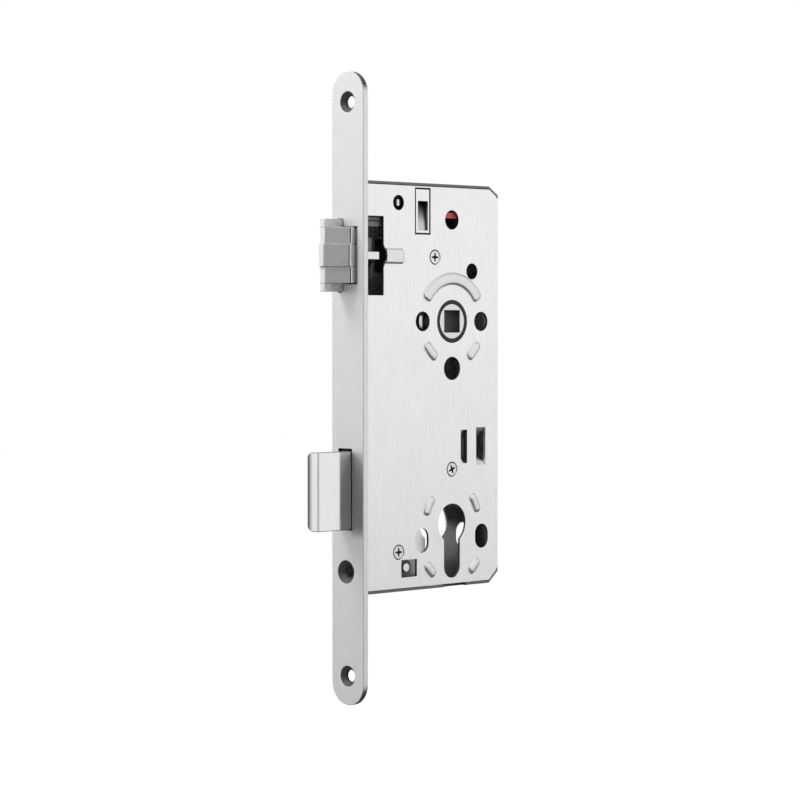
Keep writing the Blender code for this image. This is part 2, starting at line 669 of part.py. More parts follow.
def make_guide_block():
    """The pale block in the tall window, with a pocket whose floor curves up from its top end."""
    block = prism("guide_block", rectangle(*GUIDE_BLOCK), COVER_OUT + RECESS, ROOM_BACK)
    x0, x1, low, high = GUIDE_POCKET
    shallow, deep = [COVER_OUT + depth for depth in GUIDE_POCKET_DEPTHS]
    outside = COVER_OUT - PAST
    angles = [POCKET_SWEEP * i / POCKET_STEPS for i in range(POCKET_STEPS + 1)]
    fall = (deep - shallow) / (1 - math.cos(POCKET_SWEEP))
    rise = (high - low) / math.sin(POCKET_SWEEP)
    sweep = [(shallow + fall * (1 - math.cos(t)), low + rise * math.sin(t)) for t in angles]
    floor = [(outside, low)] + sweep + [(outside, high)]
    cut(block, prism("pocket", floor, x0, x1, "X"))
    return finish(block, "galvanised")


def make_deadbolt_head():
    """The bolt's block: crowned at the front and shouldered along its far side, and cut for its tail."""
    crown = math.degrees(math.asin((BOLT_FAR - BOLT_CROWN_START) / BOLT_CROWN_RADIUS))
    plan = arc((BOLT_OUT + BOLT_CROWN_RADIUS, BOLT_CROWN_START), BOLT_CROWN_RADIUS, 180 - crown, 180, 8)
    plan += [(BOLT_OUT, BOLT_NEAR), (BOLT_END, BOLT_NEAR), (BOLT_END, BOLT_FAR)]
    head = prism("deadbolt_head", plan, BOLT_BOTTOM, BOLT_TOP, "Z")
    start, radius = BOLT_SHOULDER_START, BOLT_SHOULDER_RADIUS
    turn = math.degrees(math.asin((BOLT_FAR - start) / radius))
    end = arc((start, BOLT_TOP - radius), radius, 90 - turn, 90, 8)
    end += [(BOLT_NEAR, BOLT_TOP), (BOLT_NEAR, BOLT_BOTTOM)]
    end += arc((start, BOLT_BOTTOM + radius), radius, -90, turn - 90, 8)
    combine(head, "INTERSECT", [prism("end", end, BOLT_OUT - PAST, BOLT_END + PAST, "X")])
    tail_front, tail_bottom = BOLT_TAIL[0], BOLT_TAIL[2]
    slot = rectangle(tail_front - GAP, BOLT_END + PAST, tail_bottom - GAP, BOLT_TOP + PAST)
    cut(head, prism("slot", slot, BOLT_TAIL_SIDES[0] - GAP, BOLT_FAR + PAST))
    return finish(head, "nickel")


def make_deadbolt_tail():
    """The plate behind the bolt, slotted round the middle post and notched for the cylinder's cam."""
    tail = prism("deadbolt_tail", rectangle(*BOLT_TAIL), *BOLT_TAIL_SIDES)
    post_x, post_z = SCREWS["middle"]
    room = POST_RADIUS + 2 * GAP
    shapes = [rectangle(post_x - BOLT_TRAVEL - room, post_x + room, post_z - room, post_z + room)]
    shapes += [circle((x, BOLT_TAIL[2]), CAM_NOTCH_RADIUS) for x in CAM_NOTCH_X]
    shapes.append(circle(STUMP, PIN_RADIUS + GAP, 16))
    low, high = BOLT_TAIL_SIDES[0] - PAST, BOLT_TAIL_SIDES[1] + PAST
    cut(tail, *[prism("slot", outline, low, high) for outline in shapes])
    return finish(tail, "galvanised")


def tumbler_notch(x):
    """A notch above the gate that drops over the stump with the bolt at one of its stops."""
    depth = (x - TUMBLER_PIVOT[0]) * math.tan(TUMBLER_DROP) + 2 * GAP
    half = PIN_RADIUS + 3 * GAP
    return rectangle(x - half, x + half, GATE_TOP - PAST, GATE_TOP + depth)


def make_tumbler():
    """The lever that holds the bolt at each stop until the cylinder's cam lifts its foot."""
    px, pz = TUMBLER_PIVOT
    tumbler = prism("tumbler", rectangle(px, TUMBLER_END, GATE_TOP, TUMBLER_TOP), *TUMBLER_SIDES)
    foot = [(FOOT_FRONT, FOOT_BOTTOM), (TUMBLER_END, FOOT_BOTTOM), (TUMBLER_END, GATE_TOP + PAST)]
    foot += [(GATE_END, GATE_TOP + PAST), (GATE_END, GATE_BOTTOM), (FOOT_FRONT, GATE_BOTTOM)]
    boss = circle(TUMBLER_PIVOT, TUMBLER_POST_RADIUS + BOSS_WALL)
    unite(tumbler, prism("foot", foot, *TUMBLER_SIDES), prism("boss", boss, *TUMBLER_SIDES))
    post_x, post_z = SCREWS["middle"]
    drop_x = (pz - post_z) * math.sin(TUMBLER_DROP)
    drop_z = (post_x - px) * math.sin(TUMBLER_DROP)
    room = POST_RADIUS + 3 * GAP
    slot = rectangle(post_x - room, post_x + drop_x + room, post_z - room, post_z + drop_z + room)
    stops = (STUMP[0], STUMP[0] + BOLT_TRAVEL / 2, STUMP[0] + BOLT_TRAVEL)
    shapes = [slot, circle(TUMBLER_PIVOT, TUMBLER_POST_RADIUS + GAP)] + [tumbler_notch(x) for x in stops]
    low, high = TUMBLER_SIDES[0] - PAST, TUMBLER_SIDES[1] + PAST
    cut(tumbler, *[prism("cut", outline, low, high) for outline in shapes])
    return finish(tumbler, "blackened_steel")


def make_changer():
    """The lever on the lower post by which the cylinder's last turn draws the latch."""
    px, pz = SCREWS["lower"]
    finger_end, finger_low, finger_high = CHANGER_FINGER
    arm = rectangle(px - CHANGER_HALF, px + CHANGER_HALF, pz, CHANGER_TOP)
    changer = prism("changer_lever", arm, *CHANGER_SIDES)
    boss = circle(SCREWS["lower"], POST_RADIUS + BOSS_WALL)
    finger = rectangle(px, finger_end, finger_low, finger_high)
    ear = circle(CHANGER_STUD, CHANGER_STUD_RADIUS + CHANGER_EAR_WALL, 16)
    unite(changer, *[prism("form", outline, *CHANGER_SIDES) for outline in (boss, finger, ear)])
    holes = [circle(SCREWS["lower"], POST_RADIUS + GAP)]
    holes.append(circle(CHANGER_STUD, CHANGER_STUD_RADIUS + GAP, 16))
    low, high = CHANGER_SIDES[0] - PAST, CHANGER_SIDES[1] + PAST
    cut(changer, *[prism("hole", hole, low, high) for hole in holes])
    return finish(changer, "blackened_steel")


def coil_points(axis, centre, start, end, coil):
    """Points of a helix along X or Z whose ends run straight for one wire diameter."""
    radius, wire, turns = coil
    lead = 2 * wire
    count = turns * POINTS_PER_TURN
    first, last = start + lead + wire, end - lead - wire
    points = []
    for i in range(count + 1):
        angle = 2 * math.pi * i / POINTS_PER_TURN
        along = first + (last - first) * i / count
        a, b = centre[0] + radius * math.cos(angle), centre[1] + radius * math.sin(angle)
        points.append(place(axis, a, b, along))
    a, b = centre[0] + radius, centre[1]
    return [place(axis, a, b, start)] + points + [place(axis, a, b, end)]


def least_gap(points, wire):
    """The smallest clear distance between stretches of wire at least half a turn apart."""
    apart = POINTS_PER_TURN // 2 + 1
    pairs = ((p, q) for i, p in enumerate(points) for q in points[i + apart:])
    return min(math.dist(p, q) for p, q in pairs) - 2 * wire


def make_spring(name, axis, centre, start, end, coil):
    points = coil_points(axis, centre, start, end, coil)
    curve = bpy.data.curves.new(name, "CURVE")
    curve.dimensions = "3D"
    curve.bevel_depth = coil[1] * MM
    curve.bevel_resolution = 1
    curve.use_fill_caps = True
    spline = curve.splines.new("POLY")
    spline.points.add(len(points) - 1)
    for slot, point in zip(spline.points, points):
        slot.co = [c * MM for c in point] + [1]
    spring = bpy.data.objects.new(name, curve)
    bpy.context.scene.collection.objects.link(spring)
    print(f"{name}: least gap to itself {least_gap(points, coil[1]):.2f} mm")
    return finish(spring, "spring_steel")


def make_springs():
    latch_start, latch_end = CARRIER_END + GAP, GUIDE_BLOCK[0] - GAP
    make_spring("latch_spring", "X", (CASE_MID, LATCH_SPRING_Z), latch_start, latch_end, LATCH_COIL)
    follower_start, follower_end = FOLLOWER_SEAT[1] + GAP, BACKSET - ARM_HALF - GAP
    follower_centre = (CASE_MID, FOLLOWER_SPRING_Z)
    make_spring("follower_spring", "X", follower_centre, follower_start, follower_end, FOLLOWER_COIL)
    tumbler_start, tumbler_end = TUMBLER_TOP + GAP, TUMBLER_SEAT[2] - GAP
    tumbler_centre = (TUMBLER_SPRING_X, CASE_MID)
    make_spring("tumbler_spring", "Z", tumbler_centre, tumbler_start, tumbler_end, TUMBLER_COIL)


def make_joint_empty(name, location, pieces):
    """An empty on a joint's axis that carries the pieces of one moving body."""
    empty = bpy.data.objects.new(name, None)
    empty.location = [c * MM for c in location]
    bpy.context.scene.collection.objects.link(empty)
    bpy.context.view_layer.update()
    for piece in pieces:
        piece.parent = empty
        piece.matrix_parent_inverse = empty.matrix_world.inverted()


def clear_scene():
    for old in list(bpy.data.objects):
        bpy.data.objects.remove(old)


def make_fixed_pieces():
    make_faceplate()
    make_case_body()
    make_case_cover()
    for place_name, centre in SCREWS.items():
        make_cover_screw(place_name, centre)
        make_screw_post(place_name, centre)
    front_radii = (FRONT_POST_RADIUS, FRONT_POST_TIP_RADIUS)
    make_stepped_post("front_post", FRONT_POST, *front_radii, COVER_OUT + GAP, CASE_MID)
    tumbler_radii = (TUMBLER_POST_RADIUS, RIVET_RADIUS)
    make_stepped_post("tumbler_post", TUMBLER_PIVOT, *tumbler_radii, ROOM_FRONT - RECESS, ROOM_FRONT)
    make_bush("follower_bush_front", COVER_OUT + RECESS, ROOM_FRONT, 1)
    make_bush("follower_bush_rear", BACK_OUT - RECESS, ROOM_BACK, -1)
    make_guide_block()
    make_block("red_stop_block", RED_BLOCK, "red_plastic")
    make_block("follower_spring_seat", FOLLOWER_SEAT, "bright_steel", FOLLOWER_SEAT_NEAR)
    make_block("tumbler_spring_seat", TUMBLER_SEAT, "bright_steel")
    make_springs()


def make_moving_pieces():
    pin = make_pin("latch_pin", LATCH_PIN, PIN_RADIUS, ROOM_FRONT, TAIL_SIDES[1] + PAST)
    latch = [make_latch_head(), make_latch_carrier(), make_guide_bar(), make_latch_tail(), pin]
    make_joint_empty("latch_axis", (0, CASE_MID, LATCH_Z), latch)
    make_joint_empty("follower_axis", (FOLLOWER[0], CASE_MID, FOLLOWER[1]), [make_follower()])
    stump = make_pin("deadbolt_stump", STUMP, PIN_RADIUS, TUMBLER_SIDES[0], BOLT_TAIL_SIDES[1])
    bolt = [make_deadbolt_head(), make_deadbolt_tail(), stump]
    make_joint_empty("deadbolt_axis", (0, CASE_MID, (BOLT_TOP + BOLT_BOTTOM) / 2), bolt)
    make_joint_empty("tumbler_axis", (TUMBLER_PIVOT[0], CASE_MID, TUMBLER_PIVOT[1]), [make_tumbler()])
    stud_ends = (COVER_OUT + 2 * GAP, CHANGER_SIDES[1])
    stud = make_pin("changer_stud", CHANGER_STUD, CHANGER_STUD_RADIUS, *stud_ends)
    changer_x, changer_z = SCREWS["lower"]
    make_joint_empty("changer_axis", (changer_x, CASE_MID, changer_z), [make_changer(), stud])


clear_scene()
make_fixed_pieces()
make_moving_pieces()
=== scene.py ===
"""Looks of the mortise lock: the finish of every piece, wound springs and the moulded latch carrier.

Lengths are in metres, in the part's own frame: X into the door, Y from the cover to the back, Z up.
"""
import json
import math

import bmesh
import bpy
from mathutils import Matrix, Vector


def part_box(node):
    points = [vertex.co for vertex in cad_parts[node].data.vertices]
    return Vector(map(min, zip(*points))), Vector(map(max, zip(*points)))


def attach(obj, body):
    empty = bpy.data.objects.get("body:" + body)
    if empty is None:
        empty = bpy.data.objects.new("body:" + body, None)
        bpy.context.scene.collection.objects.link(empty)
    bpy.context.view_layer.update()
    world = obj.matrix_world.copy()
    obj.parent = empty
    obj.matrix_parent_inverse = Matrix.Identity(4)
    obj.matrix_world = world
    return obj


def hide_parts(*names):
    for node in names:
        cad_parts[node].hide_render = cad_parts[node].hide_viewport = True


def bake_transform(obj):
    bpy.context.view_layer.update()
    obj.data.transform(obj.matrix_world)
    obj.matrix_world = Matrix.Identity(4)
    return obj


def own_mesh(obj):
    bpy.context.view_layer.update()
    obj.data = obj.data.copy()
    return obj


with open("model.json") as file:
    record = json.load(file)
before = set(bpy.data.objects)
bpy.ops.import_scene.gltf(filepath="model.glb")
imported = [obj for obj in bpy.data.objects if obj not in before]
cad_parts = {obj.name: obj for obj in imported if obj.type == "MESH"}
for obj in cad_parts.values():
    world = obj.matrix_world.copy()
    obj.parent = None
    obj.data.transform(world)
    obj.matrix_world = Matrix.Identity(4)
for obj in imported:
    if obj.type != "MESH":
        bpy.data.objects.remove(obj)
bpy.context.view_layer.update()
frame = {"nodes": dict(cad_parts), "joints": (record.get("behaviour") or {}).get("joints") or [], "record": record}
NODES = frame["nodes"]
MM = 0.001

# Camera, fitted to the photograph
CAMERA_PLACE = (-0.82045, -0.85906, -0.00052)
CAMERA_YAW = math.radians(44.8)
CAMERA_PITCH = math.radians(-1.649)
LENS = 121.094
SENSOR = 36.0

# Studio
FLOOR_Z = -0.42
FLOOR_HALF = 8.0
FLOOR_GREY = 0.80
FLOOR_ROUGHNESS = 0.9
FLOOR_LIFT = {"Is Camera Ray": 0.90, "Is Glossy Ray": 0.70, "Is Transmission Ray": 0.70}
WORLD_SOFT = 0.12

# Upright cards: azimuth and spread in degrees, height, slope of the line to the card, greys at its X ends
FLAG_DISTANCE = 1.1
FLAGS = {
    "flag_camera_side": (225, 52, 1.2, 0.0, (0.05, 0.05)),
    "flag_behind": (92, 24, 0.5, -0.13, (0.14, 0.05)),
    "flag_ramp": (115.5, 23, 0.5, -0.13, (0.78, 0.15)),
    "flag_right": (12, 56, 1.2, 0.0, (0.28, 0.28)),
}

# Level cards: centre, way they face along Z, size along X and Y, greys at the X ends
LEVEL_FLAGS = {
    "flag_below": ((0.0, 0.15, FLOOR_Z + 0.02), 1, (2.5, 2.5), (0.17, 0.17)),
    "flag_above": ((0.75, -0.45, 0.60), -1, (1.5, 1.7), (0.95, 0.40)),
}

# Lamps: centre, size and watts
LAMPS = {
    "key": ((-0.38, 0.40, 0.70), 0.45, 16.0),
    "fill": ((0.9, -1.0, 0.45), 1.2, 4.0),
}

# Edge rounding of the loaded solids, by node; the rest take the first value
EDGE_ROUND = 0.15 * MM
EDGE_ROUNDS = {
    "faceplate": 0.22 * MM,
    "latch_head": 0.32 * MM,
    "deadbolt_head": 0.20 * MM,
    "case_cover": 0.0,
    "case_body": 0.12 * MM,
    "guide_block": 0.05 * MM,
    "cover_screw_upper": 0.05 * MM,
    "cover_screw_middle": 0.05 * MM,
    "cover_screw_lower": 0.05 * MM,
    "tumbler_post": 0.045 * MM,
}
EDGE_ANGLE = math.radians(40)
EDGE_STEPS = 2
FLAT_ANGLE = math.radians(0.5)
CREASES_DEG = ((38, 50), (75, 180))
MERGE = 0.002 * MM

# Finishes: the range that noise mostly keeps to, zinc-coated sheet, and the roughness of painted shade
NOISE_SPAN = (0.3, 0.7)
SHEET_COLOUR = (0.93, 0.933, 0.937)
SHEET_ROUGHNESS = (0.25, 0.29)
DARK_ROUGHNESS = 0.5

# Greys of the case: painted shade on its rim, in its notch and on its insides upper and lower, its painted patch
# of light from foot to top, and of the cover
RIM_SHADE_GREY = 0.16
NOTCH_SHADE_GREY = 0.03
INSIDE_SHADE_GREYS = (0.75, 0.25)
LIGHT_PATCH_GREYS = (0.50, 0.98)
INSIDE_METAL = 0.3
RIB_TINT = 0.88
WALL_SHADE_GREY = 0.12

# Greys of the faceplate: its painted shadow beside the bolt, its side painted lighter, painted shade on its front
# edge, round ends and holes, and its countersinks
BOLT_SHADOW_GREY = 0.22
SIDE_LIGHT_GREY = 0.97
FRONT_EDGE_SHADE_GREY = 0.65
END_SHADE_GREY = 0.10
CONE_GREY = 0.14
HOLE_SHADE_GREY = 0.02

# Greys of the painted shade on the smaller pieces, and their shine
POCKET_SHADE_GREY = 0.15
CROSS_SHADE_GREY = 0.08
POST_SHADE_GREY = 0.12
SQUARE_SHADE_GREY = 0.10
BOLT_CORNER_SHADE_GREY = 0.60
BOLT_END_SHADE_GREY = 0.35
LATCH_LINE_SHADE_GREY = 0.42
LATCH_METAL = 0.6
RUBBED_ROUGHNESS = 0.2

# Screw holes of the faceplate: Y, Z and sink radius in millimetres
COUNTERSINKS = ((0.0, 96.6, 4.8), (0.0, -157.1, 4.8), (1.1, -110.9, 5.35))

# Places and reaches of the painted shade, shadow and light, and of the darker ribs and rubbed strips of the
# finishes
MASK_SOFT = 0.05 * MM
COVER_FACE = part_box("cover_screw_upper")[0].y
SCREW_HOLE_RADIUS = 2.75 * MM
SINK_DEPTHS = (0.08 * MM, 2.9 * MM)
SCREW_CROSS_RADIUS = 2.25 * MM
CROSS_DEPTH = 0.12 * MM
SHEAR_DEPTH = 0.15 * MM
SQUARE_HALF = 5.2 * MM
NOTCH = (55.2 * MM, 69.4 * MM)
RIM_REACH = 1.7 * MM
RIM_SKIN = 0.25 * MM
CASE_SKIN = 0.6 * MM
CHAMFERS = ((5.8 * MM, 3.7 * MM), (5.8 * MM, 5.0 * MM))
CHAMFER_LINE = (0.3 * MM, 1.7 * MM)
LIT_INSIDE = (62.0 * MM, -105.5 * MM, -85.0 * MM)
NECK_FADE = (-98.0 * MM, -90.5 * MM)
NECK_FOOT = (-115.5 * MM, -106.0 * MM)
NECK_BACK = 80.0 * MM
RIB_FADE = (-0.3 * MM, -0.1 * MM)
FACE_HOLES = ((12.5 * MM, 45.7 * MM), (-92.6 * MM, -56.0 * MM))
FACE_HOLE_HALF = 6.4 * MM
LATCH_LINES = (13.1 * MM, 16.8 * MM, 24.0 * MM, 34.2 * MM, 41.4 * MM, 45.1 * MM)
LATCH_LINE_HALF = 0.15 * MM
LATCH_RUBBED = (0.02 * MM, 0.5 * MM)
BOLT_EDGE = (-19.4 * MM, -1.8 * MM)
BOLT_END_LINE = 0.35 * MM
FRONT_SKIN = 0.3 * MM
PLATE_SIDE = -9.7 * MM
BOLT_SHADOW_RISE = 0.5 * MM
BOLT_SHADOW_FADE = 1.5 * MM
BOLT_SHADOW_END = 5.0 * MM
BOLT_SHADOW_STRENGTH = 0.6
END_FADE = (0.5 * MM, 4.5 * MM)
END_SKIN = 0.1 * MM
FIT_REACH = 0.6 * MM
POST_HIGHLIGHT_HALF = 0.6 * MM
POCKET_DEPTH = 1.0 * MM
POCKET_WALL = 43.8 * MM
POCKET_FADE = (43.0 * MM, 52.0 * MM)
BRIDGES = (65.0 * MM, 83.0 * MM, -67.0 * MM, -48.0 * MM)

# Wound springs: axis number, wire radius and turns, the end turns included
SPRINGS = {
    "latch_spring": (0, 0.4 * MM, 11),
    "follower_spring": (0, 0.45 * MM, 10),
    "tumbler_spring": (2, 0.35 * MM, 7),
}
END_PITCH = 2.1
TURN_STEPS = 28
WIRE_STEPS = 10

# Mouldings on the latch carrier: X and Z outlines in millimetres, and how far they stand out of it
CARRIER_CAP = ((4.0, 42.0), (17.0, 42.0), (17.0, 44.6), (4.0, 44.6))
CARRIER_LIP = ((4.0, 44.9), (17.0, 44.9), (17.0, 46.4), (4.0, 46.4))
CARRIER_TAB = ((4.0, 31.0), (10.5, 31.0), (11.1, 37.0), (4.0, 37.0))
MOULDING_PROUD = 0.6 * MM
LIP_DEPTH = 3.0 * MM
COLUMN_ENDS = ((11.0, 26.4), (8.6, 14.3))
COLUMN_RADIUS = 1.7 * MM


def joint_place(name):
    """A point on a joint's axis."""
    return Vector(next(joint["pos_m"] for joint in frame["joints"] if joint["name"] == name))


def middle(name):
    low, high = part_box(name)
    return (low + high) / 2


class Finish:
    """A Principled material with helpers that add procedural detail in the piece's own space."""

    def __init__(self, name, metallic=0.0, specular=0.5):
        self.material = bpy.data.materials.new(name)
        self.material.use_nodes = True
        self.tree = self.material.node_tree
        self.shader = self.tree.nodes["Principled BSDF"]
        self.place = self.tree.nodes.new("ShaderNodeTexCoord").outputs["Object"]
        self.shader.inputs["Metallic"].default_value = metallic
        self.shader.inputs["Specular IOR Level"].default_value = specular

    def node(self, kind, inputs=(), **settings):
        """Add a node, set its properties, and set or link its inputs by name or number."""
        node = self.tree.nodes.new("ShaderNode" + kind)
        for key, value in settings.items():
            setattr(node, key, value)
        for key, value in dict(inputs).items():
            if isinstance(value, bpy.types.NodeSocket):
                self.tree.links.new(value, node.inputs[key])
            else:
                node.inputs[key].default_value = value
        return node

    def stretched(self, stretch, shift=(0, 0, 0)):
        """Object coordinates scaled by axis, so that a pattern runs along one of them."""
        mapping = self.node("Mapping", {"Vector": self.place, "Scale": stretch, "Location": shift})
        return mapping.outputs["Vector"]

    def noise(self, size, stretch=(1, 1, 1), shift=(0, 0, 0), detail=2.0):
        """Noise whose features measure about the size in metres, or more along a stretched axis."""
        vector = self.stretched([1 / (size * s) for s in stretch], shift)
        return self.node("TexNoise", {"Vector": vector, "Scale": 1.0, "Detail": detail}).outputs["Fac"]

    def grains(self, size):
        vector = self.stretched([1 / size] * 3)
        return self.node("TexVoronoi", {"Vector": vector, "Scale": 1.0}).outputs["Distance"]

    def ranged(self, source, low, high, to_low, to_high):
        """Map a source range onto another with eased ends, clamped."""
        values = {"Value": source, "From Min": low, "From Max": high, "To Min": to_low, "To Max": to_high}
        return self.node("MapRange", values, interpolation_type="SMOOTHSTEP").outputs["Result"]

    def spread(self, noise, low=0.0, high=1.0):
        """Map the range that noise mostly keeps to onto another."""
        return self.ranged(noise, *NOISE_SPAN, low, high)

    def maths(self, operation, *values):
        return self.node("Math", dict(enumerate(values)), operation=operation).outputs[0]

    def blended(self, factor, first, second, how="MIX"):
        """Mix two colours, each a grey value, a colour or a socket."""
        colours = []
        for colour in (first, second):
            if isinstance(colour, (int, float)):
                colour = (colour, colour, colour)
            if isinstance(colour, tuple) and len(colour) == 3:
                colour = (*colour, 1)
            colours.append(colour)
        inputs = {0: factor, 6: colours[0], 7: colours[1]}
        return self.node("Mix", inputs, data_type="RGBA", blend_type=how).outputs[2]

    def mixed(self, factor, first, second):
        """Mix two numbers or number sockets."""
        return self.node("Mix", {0: factor, 2: first, 3: second}, data_type="FLOAT").outputs[0]

    def axes(self):
        """Object-space X, Y and Z."""
        return self.node("SeparateXYZ", {"Vector": self.place}).outputs

    def within(self, radius, point, plane):
        """1 within a radius of an axis through a point, and 0 outside; plane has 0 along the axis."""
        offset = self.node("VectorMath", {0: self.place, 1: point}, operation="SUBTRACT").outputs[0]
        flat = self.node("VectorMath", {0: offset, 1: plane}, operation="MULTIPLY").outputs[0]
        distance = self.node("VectorMath", {0: flat}, operation="LENGTH").outputs["Value"]
        return self.ranged(distance, radius - MASK_SOFT, radius + MASK_SOFT, 1.0, 0.0)

    def beyond(self, coordinate, limit):
        """1 above the limit, 0 below."""
        return self.ranged(coordinate, limit - MASK_SOFT, limit + MASK_SOFT, 0.0, 1.0)

    def below(self, coordinate, limit):
        return self.outside(self.beyond(coordinate, limit))

    def outside(self, mask):
        """1 where a mask is 0, and 0 where it is 1."""
        return self.maths("SUBTRACT", 1.0, mask)

    def between(self, coordinate, low, high):
        return self.both(self.beyond(coordinate, low), self.below(coordinate, high))

    def both(self, *masks):
        result = masks[0]
        for mask in masks[1:]:
            result = self.maths("MULTIPLY", result, mask)
        return result

    def either(self, *masks):
        result = masks[0]
        for mask in masks[1:]:
            result = self.maths("MAXIMUM", result, mask)
        return result

    def darken(self, mask, colour, roughness, dark):
        """Feed colour and roughness, and a dark grainy painted shade where the mask is 1."""
        grain = self.noise(0.4 * MM, detail=3.0)
        shade_tone = self.blended(grain, 0.6 * dark, 1.4 * dark)
        self.feed("Base Color", self.blended(mask, colour, shade_tone))
        self.feed("Roughness", self.mixed(mask, roughness, DARK_ROUGHNESS))

    def feed(self, socket, source):
        self.tree.links.new(source, self.shader.inputs[socket])

    def bumped(self, height, strength, distance):
        bump = self.node("Bump", {"Height": height, "Strength": strength, "Distance": distance})
        self.feed("Normal", bump.outputs["Normal"])
        return self


def sheet_surface(finish):
    """Colour and roughness of zinc-coated sheet: clouds, drawing lines along Z and stray short marks."""
    clouds = finish.noise(12 * MM, detail=3.0)
    lines = finish.noise(0.25 * MM, stretch=(1, 1, 40), detail=2.0)
    marks = finish.noise(0.9 * MM, stretch=(1, 1, 5), shift=(3, 1, 7), detail=1.0)
    duller = tuple(0.95 * c for c in SHEET_COLOUR)
    tone = finish.blended(finish.spread(clouds), duller, SHEET_COLOUR)
    drawn = finish.blended(finish.ranged(lines, 0.35, 0.65, 0.0, 0.10), tone, 0.45)
    surface = finish.blended(finish.ranged(marks, 0.70, 0.78, 0.0, 0.18), drawn, 0.25)
    finish.bumped(lines, 0.10, 0.02 * MM)
    return surface, finish.spread(clouds, *SHEET_ROUGHNESS)


def galvanised_sheet(name):
    finish = Finish(name, metallic=1.0)
    surface, roughness = sheet_surface(finish)
    finish.feed("Base Color", surface)
    finish.feed("Roughness", roughness)
    return finish.material


def chamfer_line(finish, x, depth, high_x, run, drop):
    """1 along a thin line inside a chamfered corner; depth is how far a point lies below that end."""
    slant = math.hypot(run, drop)
    inward = finish.maths("SUBTRACT", high_x, x)
    reach = finish.maths("MULTIPLY_ADD", inward, drop / slant, -run * drop / slant)
    distance = finish.maths("MULTIPLY_ADD", depth, run / slant, reach)
    return finish.between(distance, *CHAMFER_LINE)


def painted_rim_shade(finish, low, high):
    """1 on the rim along the top, bottom and chamfers of the case, which is painted in shade."""
    x, y, z = finish.axes()
    ends = finish.either(finish.beyond(z, high.z - RIM_REACH), finish.below(z, low.z + RIM_REACH))
    depths = (finish.maths("SUBTRACT", high.z, z), finish.maths("SUBTRACT", z, low.z))
    lines = [chamfer_line(finish, x, depth, high.x, *size) for depth, size in zip(depths, CHAMFERS)]
    square = finish.both(ends, finish.below(x, high.x - CHAMFERS[0][0]))
    return finish.both(finish.below(y, low.y + RIM_SKIN), finish.either(square, *lines))


def case_inside(finish, low, high):
    """1 on the inner faces of the case, which are painted in shade, but for a patch that light reaches through the
    cylinder opening.
    """
    x, y, z = finish.axes()
    spans = [(low[k] + CASE_SKIN, high[k] - CASE_SKIN) for k in range(3)]
    room = finish.both(*[finish.between(place, *span) for place, span in zip((x, y, z), spans)])
    lit_x, lit_low, lit_high = LIT_INSIDE
    unlit = finish.either(finish.beyond(x, lit_x), finish.below(z, lit_low), finish.beyond(z, lit_high))
    return finish.both(room, unlit)


def case_sheet(name):
    """Galvanised sheet with painted shade on its rim, in its notch and on its inside, and a painted patch of light
    inside behind the cylinder's neck.
    """
    finish = Finish(name, metallic=1.0)
    surface, roughness = sheet_surface(finish)
    low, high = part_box("case_body")
    x, _, z = finish.axes()
    # The notch in the bottom rim is painted near black as shade.
    notch = finish.both(finish.between(x, *NOTCH), finish.below(z, low.z + RIM_REACH))
    # The rim is painted dark as shade.
    rim_shaded = finish.blended(painted_rim_shade(finish, low, high), surface, RIM_SHADE_GREY)
    low_inside = finish.both(finish.beyond(x, LIT_INSIDE[0]), finish.below(z, LIT_INSIDE[2]))
    # A patch behind the cylinder's neck is painted pale as light falling there, darker towards its foot.
    painted_light_patch = finish.both(low_inside, finish.below(x, NECK_BACK), finish.ranged(z, *NECK_FADE, 1.0, 0.0))
    light_patch_grade = finish.blended(finish.ranged(z, *NECK_FOOT, 0.0, 1.0), *LIGHT_PATCH_GREYS)
    # The rest of the inside is painted in shade, lighter in its upper part and darker in its low part.
    inside = finish.blended(painted_light_patch, finish.blended(low_inside, *INSIDE_SHADE_GREYS), light_patch_grade)
    inner = case_inside(finish, low, high)
    lined = finish.blended(inner, rim_shaded, inside)
    finish.feed("Metallic", finish.mixed(inner, 1.0, finish.mixed(painted_light_patch, INSIDE_METAL, 0.0)))
    finish.darken(notch, lined, roughness, NOTCH_SHADE_GREY)
    return finish.material


def cover_sheet(name):
    """Galvanised sheet, darker on its ribs, with painted shade on the cut walls of most holes."""
    finish = Finish(name, metallic=1.0)
    surface, roughness = sheet_surface(finish)
    x, y, z = finish.axes()
    bridges = finish.both(finish.between(x, *BRIDGES[:2]), finish.between(z, *BRIDGES[2:]))
    low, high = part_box("guide_block")
    fitted = finish.between(x, low.x - FIT_REACH, high.x + FIT_REACH)
    fitted = finish.both(fitted, finish.between(z, low.z - FIT_REACH, high.z + FIT_REACH))
    proud = finish.ranged(y, *[COVER_FACE + reach for reach in RIB_FADE], 1.0, 0.0)
    ribs = finish.both(proud, finish.outside(bridges))
    surface = finish.blended(ribs, surface, RIB_TINT, how="MULTIPLY")
    bright = finish.either(bridges, fitted)
    # The cut walls of most holes are painted dark as shade; the bridges and the walls round the guide block are
    # left bright.
    shaded_walls = finish.both(finish.beyond(y, COVER_FACE + SHEAR_DEPTH), finish.outside(bright))
    finish.darken(shaded_walls, surface, roughness, WALL_SHADE_GREY)
    return finish.material


